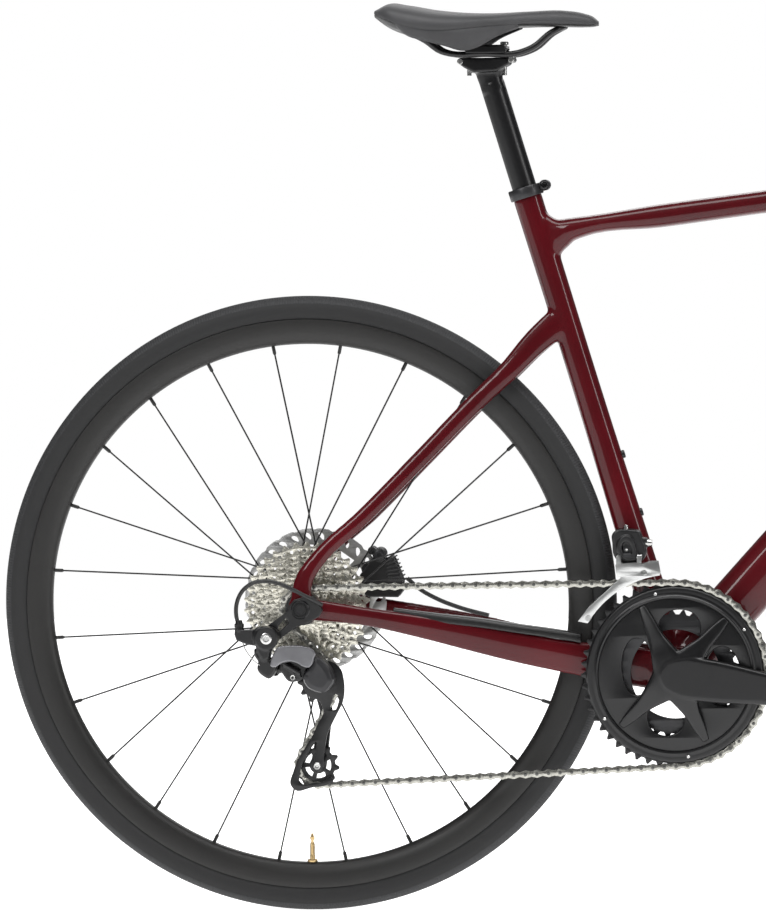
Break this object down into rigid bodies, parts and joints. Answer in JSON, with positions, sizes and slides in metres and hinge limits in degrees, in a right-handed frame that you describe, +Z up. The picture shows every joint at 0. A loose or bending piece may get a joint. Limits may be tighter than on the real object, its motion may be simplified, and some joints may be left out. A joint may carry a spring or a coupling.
{
  "type": "road bicycle",
  "caption": "Road bicycle with carbon frame, drop handlebar, disc brakes and a geared chain drive; wheels, cranks, steering, levers and both gear mechs move.",
  "frame": {"origin": "on the floor, midway between the two wheel axles, in the centre plane", "axes": "+X forward, +Y to the rider's left, +Z up"},
  "size_m": [1.693, 0.463, 1.005],
  "materials": {
    "frame_paint": "deep wine-red lacquer under clear coat, on carbon fibre",
    "satin_black": "satin black anodised",
    "black_plastic": "matte black moulded",
    "dark_grey": "dark grey satin",
    "light_grey": "light grey satin",
    "steel": "bright machined",
    "chain_silver": "warm plated steel",
    "rotor_steel": "ground stainless",
    "tyre_rubber": "charcoal with fine tread",
    "rim_black": "satin brown-black",
    "spoke_black": "black coated",
    "brass": "plain",
    "hose_black": "smooth black outer housing",
    "bar_tape": "black cork-textured wrap",
    "hood_rubber": "black ribbed",
    "saddle_cover": "dark grey matte synthetic cover"
  },
  "bodies": {
    "frame": {"frame": "frame_paint", "seat_collar": "dark_grey", "seat_collar_bolt": "dark_grey", "derailleur_hanger": "black_plastic", "bb_cup_right": "satin_black", "bb_cup_left": "satin_black", "headset_upper": "satin_black", "headset_lower": "steel", "rear_caliper": "black_plastic", "rear_brake_hose": "hose_black", "rear_mech_housing": "hose_black", "rear_thru_axle": "satin_black", "front_mech_body": "black_plastic", "chain": "chain_silver"},
    "seatpost": {"seatpost": "satin_black", "rail_clamp": "satin_black", "clamp_bolt_rear": "steel", "clamp_bolt_front": "steel"},
    "saddle": {"saddle_rails": "satin_black", "saddle_shell": "black_plastic", "saddle_pad": "saddle_cover"},
    "crankset": {"right_crank_arm": "satin_black", "crank_spindle": "steel", "outer_chainring": "satin_black", "inner_chainring": "dark_grey", "left_crank_arm": "satin_black"},
    "cassette": {"cassette": "chain_silver", "freehub_body": "steel"},
    "rear_wheel": {"rear_hub_and_spokes": "spoke_black", "rear_rim": "rim_black", "rear_tyre": "tyre_rubber", "rear_valve": "brass", "rear_rotor": "rotor_steel"},
    "rear_pad_left": {"rear_pad_left": "dark_grey"},
    "rear_pad_right": {"rear_pad_right": "dark_grey"},
    "front_mech_link": {"front_mech_link": "dark_grey"},
    "front_mech_cage": {"front_mech_cage": "chain_silver"},
    "mech_b_knuckle": {"mech_b_knuckle": "black_plastic"},
    "mech_outer_link": {"mech_outer_link": "light_grey"},
    "mech_inner_link": {"mech_inner_link": "black_plastic"},
    "mech_p_knuckle": {"mech_p_knuckle": "dark_grey"},
    "mech_cage": {"mech_cage_outer": "black_plastic", "mech_cage_inner": "black_plastic"},
    "guide_pulley": {"guide_pulley": "black_plastic"},
    "tension_pulley": {"tension_pulley": "black_plastic"},
    "steering": {"fork": "frame_paint", "stem": "satin_black", "handlebar": "bar_tape", "front_caliper": "black_plastic", "front_thru_axle": "satin_black", "shifter_left": "hood_rubber", "shifter_right": "hood_rubber"},
    "front_wheel": {"front_hub_and_spokes": "spoke_black", "front_rim": "rim_black", "front_tyre": "tyre_rubber", "front_rotor": "rotor_steel"},
    "brake_lever_left": {"brake_lever_left": "satin_black"},
    "brake_lever_right": {"brake_lever_right": "satin_black"},
    "shift_paddle_left": {"shift_paddle_left": "satin_black"},
    "shift_paddle_right": {"shift_paddle_right": "satin_black"}
  },
  "joints": [
    {"name": "seatpost_height", "type": "slide", "parent": "frame", "child": "seatpost", "axis": [-0.289, 0, 0.9573], "range_m": [-0.08, 0.03]},
    {"name": "saddle_fore_aft", "type": "slide", "parent": "seatpost", "child": "saddle", "axis": [1, 0, 0], "range_m": [-0.006, 0.006]},
    {"name": "crank_spin", "type": "hinge", "parent": "frame", "child": "crankset", "pos_m": [-0.09628, 0, 0.2675], "axis": [0, 1, 0], "continuous": true},
    {"name": "cassette_spin", "type": "hinge", "parent": "frame", "child": "cassette", "pos_m": [-0.50454, 0, 0.342], "axis": [0, 1, 0], "continuous": true},
    {"name": "rear_wheel_spin", "type": "hinge", "parent": "frame", "child": "rear_wheel", "pos_m": [-0.50454, 0, 0.342], "axis": [0, 1, 0], "continuous": true},
    {"name": "rear_pad_left_travel", "type": "slide", "parent": "frame", "child": "rear_pad_left", "axis": [0, -1, 0], "range_m": [0, 0.00045]},
    {"name": "rear_pad_right_travel", "type": "slide", "parent": "frame", "child": "rear_pad_right", "axis": [0, 1, 0], "range_m": [0, 0.00045]},
    {"name": "front_mech_swing", "type": "hinge", "parent": "frame", "child": "front_mech_link", "pos_m": [-0.14554, -0.037, 0.41], "axis": [1, 0, 0], "range_deg": [0, 25], "stiffness_Nm_per_rad": 1.2},
    {"name": "front_mech_cage_level", "type": "hinge", "parent": "front_mech_link", "child": "front_mech_cage", "pos_m": [-0.14554, -0.0435, 0.397], "axis": [1, 0, 0], "range_deg": [-25, 0]},
    {"name": "mech_b_pivot", "type": "hinge", "parent": "frame", "child": "mech_b_knuckle", "pos_m": [-0.54094, -0.088, 0.3115], "axis": [0, 1, 0], "range_deg": [0, 15], "stiffness_Nm_per_rad": 3, "deforming": ["rear_mech_housing"]},
    {"name": "mech_shift", "type": "hinge", "parent": "mech_b_knuckle", "child": "mech_outer_link", "pos_m": [-0.53454, -0.082, 0.284], "axis": [0, 0.6428, 0.766], "range_deg": [0, 75], "stiffness_Nm_per_rad": 1.5, "deforming": ["chain"]},
    {"name": "mech_shift_inner", "type": "hinge", "parent": "mech_b_knuckle", "child": "mech_inner_link", "pos_m": [-0.53454, -0.07013, 0.27404], "axis": [0, 0.6428, 0.766], "range_deg": [0, 75]},
    {"name": "mech_shift_level", "type": "hinge", "parent": "mech_outer_link", "child": "mech_p_knuckle", "pos_m": [-0.49828, -0.09495, 0.29487], "axis": [0, 0.6428, 0.766], "range_deg": [-75, 0]},
    {"name": "mech_cage_pivot", "type": "hinge", "parent": "mech_p_knuckle", "child": "mech_cage", "pos_m": [-0.48734, -0.062, 0.2607], "axis": [0, 1, 0], "range_deg": [-30, 20], "stiffness_Nm_per_rad": 0.8},
    {"name": "guide_pulley_spin", "type": "hinge", "parent": "mech_cage", "child": "guide_pulley", "pos_m": [-0.48734, -0.062, 0.2607], "axis": [0, 1, 0], "continuous": true},
    {"name": "tension_pulley_spin", "type": "hinge", "parent": "mech_cage", "child": "tension_pulley", "pos_m": [-0.48944, -0.062, 0.1688], "axis": [0, 1, 0], "continuous": true},
    {"name": "steering", "type": "hinge", "parent": "frame", "child": "steering", "pos_m": [0.28772, 0, 0.8475], "axis": [-0.309, 0, 0.9511], "range_deg": [-60, 60]},
    {"name": "front_wheel_spin", "type": "hinge", "parent": "steering", "child": "front_wheel", "pos_m": [0.50454, 0, 0.342], "axis": [0, 1, 0], "continuous": true},
    {"name": "brake_lever_left_pull", "type": "hinge", "parent": "steering", "child": "brake_lever_left", "pos_m": [0.51472, 0.21, 0.90958], "axis": [0, 1, 0], "range_deg": [0, 18], "stiffness_Nm_per_rad": 2, "springref_deg": -5.73},
    {"name": "brake_lever_right_pull", "type": "hinge", "parent": "steering", "child": "brake_lever_right", "pos_m": [0.51472, -0.21, 0.90958], "axis": [0, 1, 0], "range_deg": [0, 18], "stiffness_Nm_per_rad": 2, "springref_deg": -5.73},
    {"name": "shift_paddle_left_push", "type": "hinge", "parent": "brake_lever_left", "child": "shift_paddle_left", "pos_m": [0.51622, 0.202, 0.86658], "axis": [-1, 0, 0], "range_deg": [0, 10], "stiffness_Nm_per_rad": 0.4, "springref_deg": -2.86},
    {"name": "shift_paddle_right_push", "type": "hinge", "parent": "brake_lever_right", "child": "shift_paddle_right", "pos_m": [0.51622, -0.202, 0.86658], "axis": [1, 0, 0], "range_deg": [0, 10], "stiffness_Nm_per_rad": 0.4, "springref_deg": -2.86}
  ],
  "couplings": [
    {"joint": "cassette_spin", "follows": "crank_spin", "ratio": 4.5455},
    {"joint": "guide_pulley_spin", "follows": "crank_spin", "ratio": -4.5455},
    {"joint": "tension_pulley_spin", "follows": "crank_spin", "ratio": 4.5455},
    {"joint": "front_mech_cage_level", "follows": "front_mech_swing", "ratio": -1},
    {"joint": "mech_shift_inner", "follows": "mech_shift", "ratio": 1},
    {"joint": "mech_shift_level", "follows": "mech_shift", "ratio": -1},
    {"joint": "rear_pad_left_travel", "follows": "brake_lever_right_pull", "m_per_rad": 0.00127},
    {"joint": "rear_pad_right_travel", "follows": "brake_lever_right_pull", "m_per_rad": 0.00127}
  ]
}
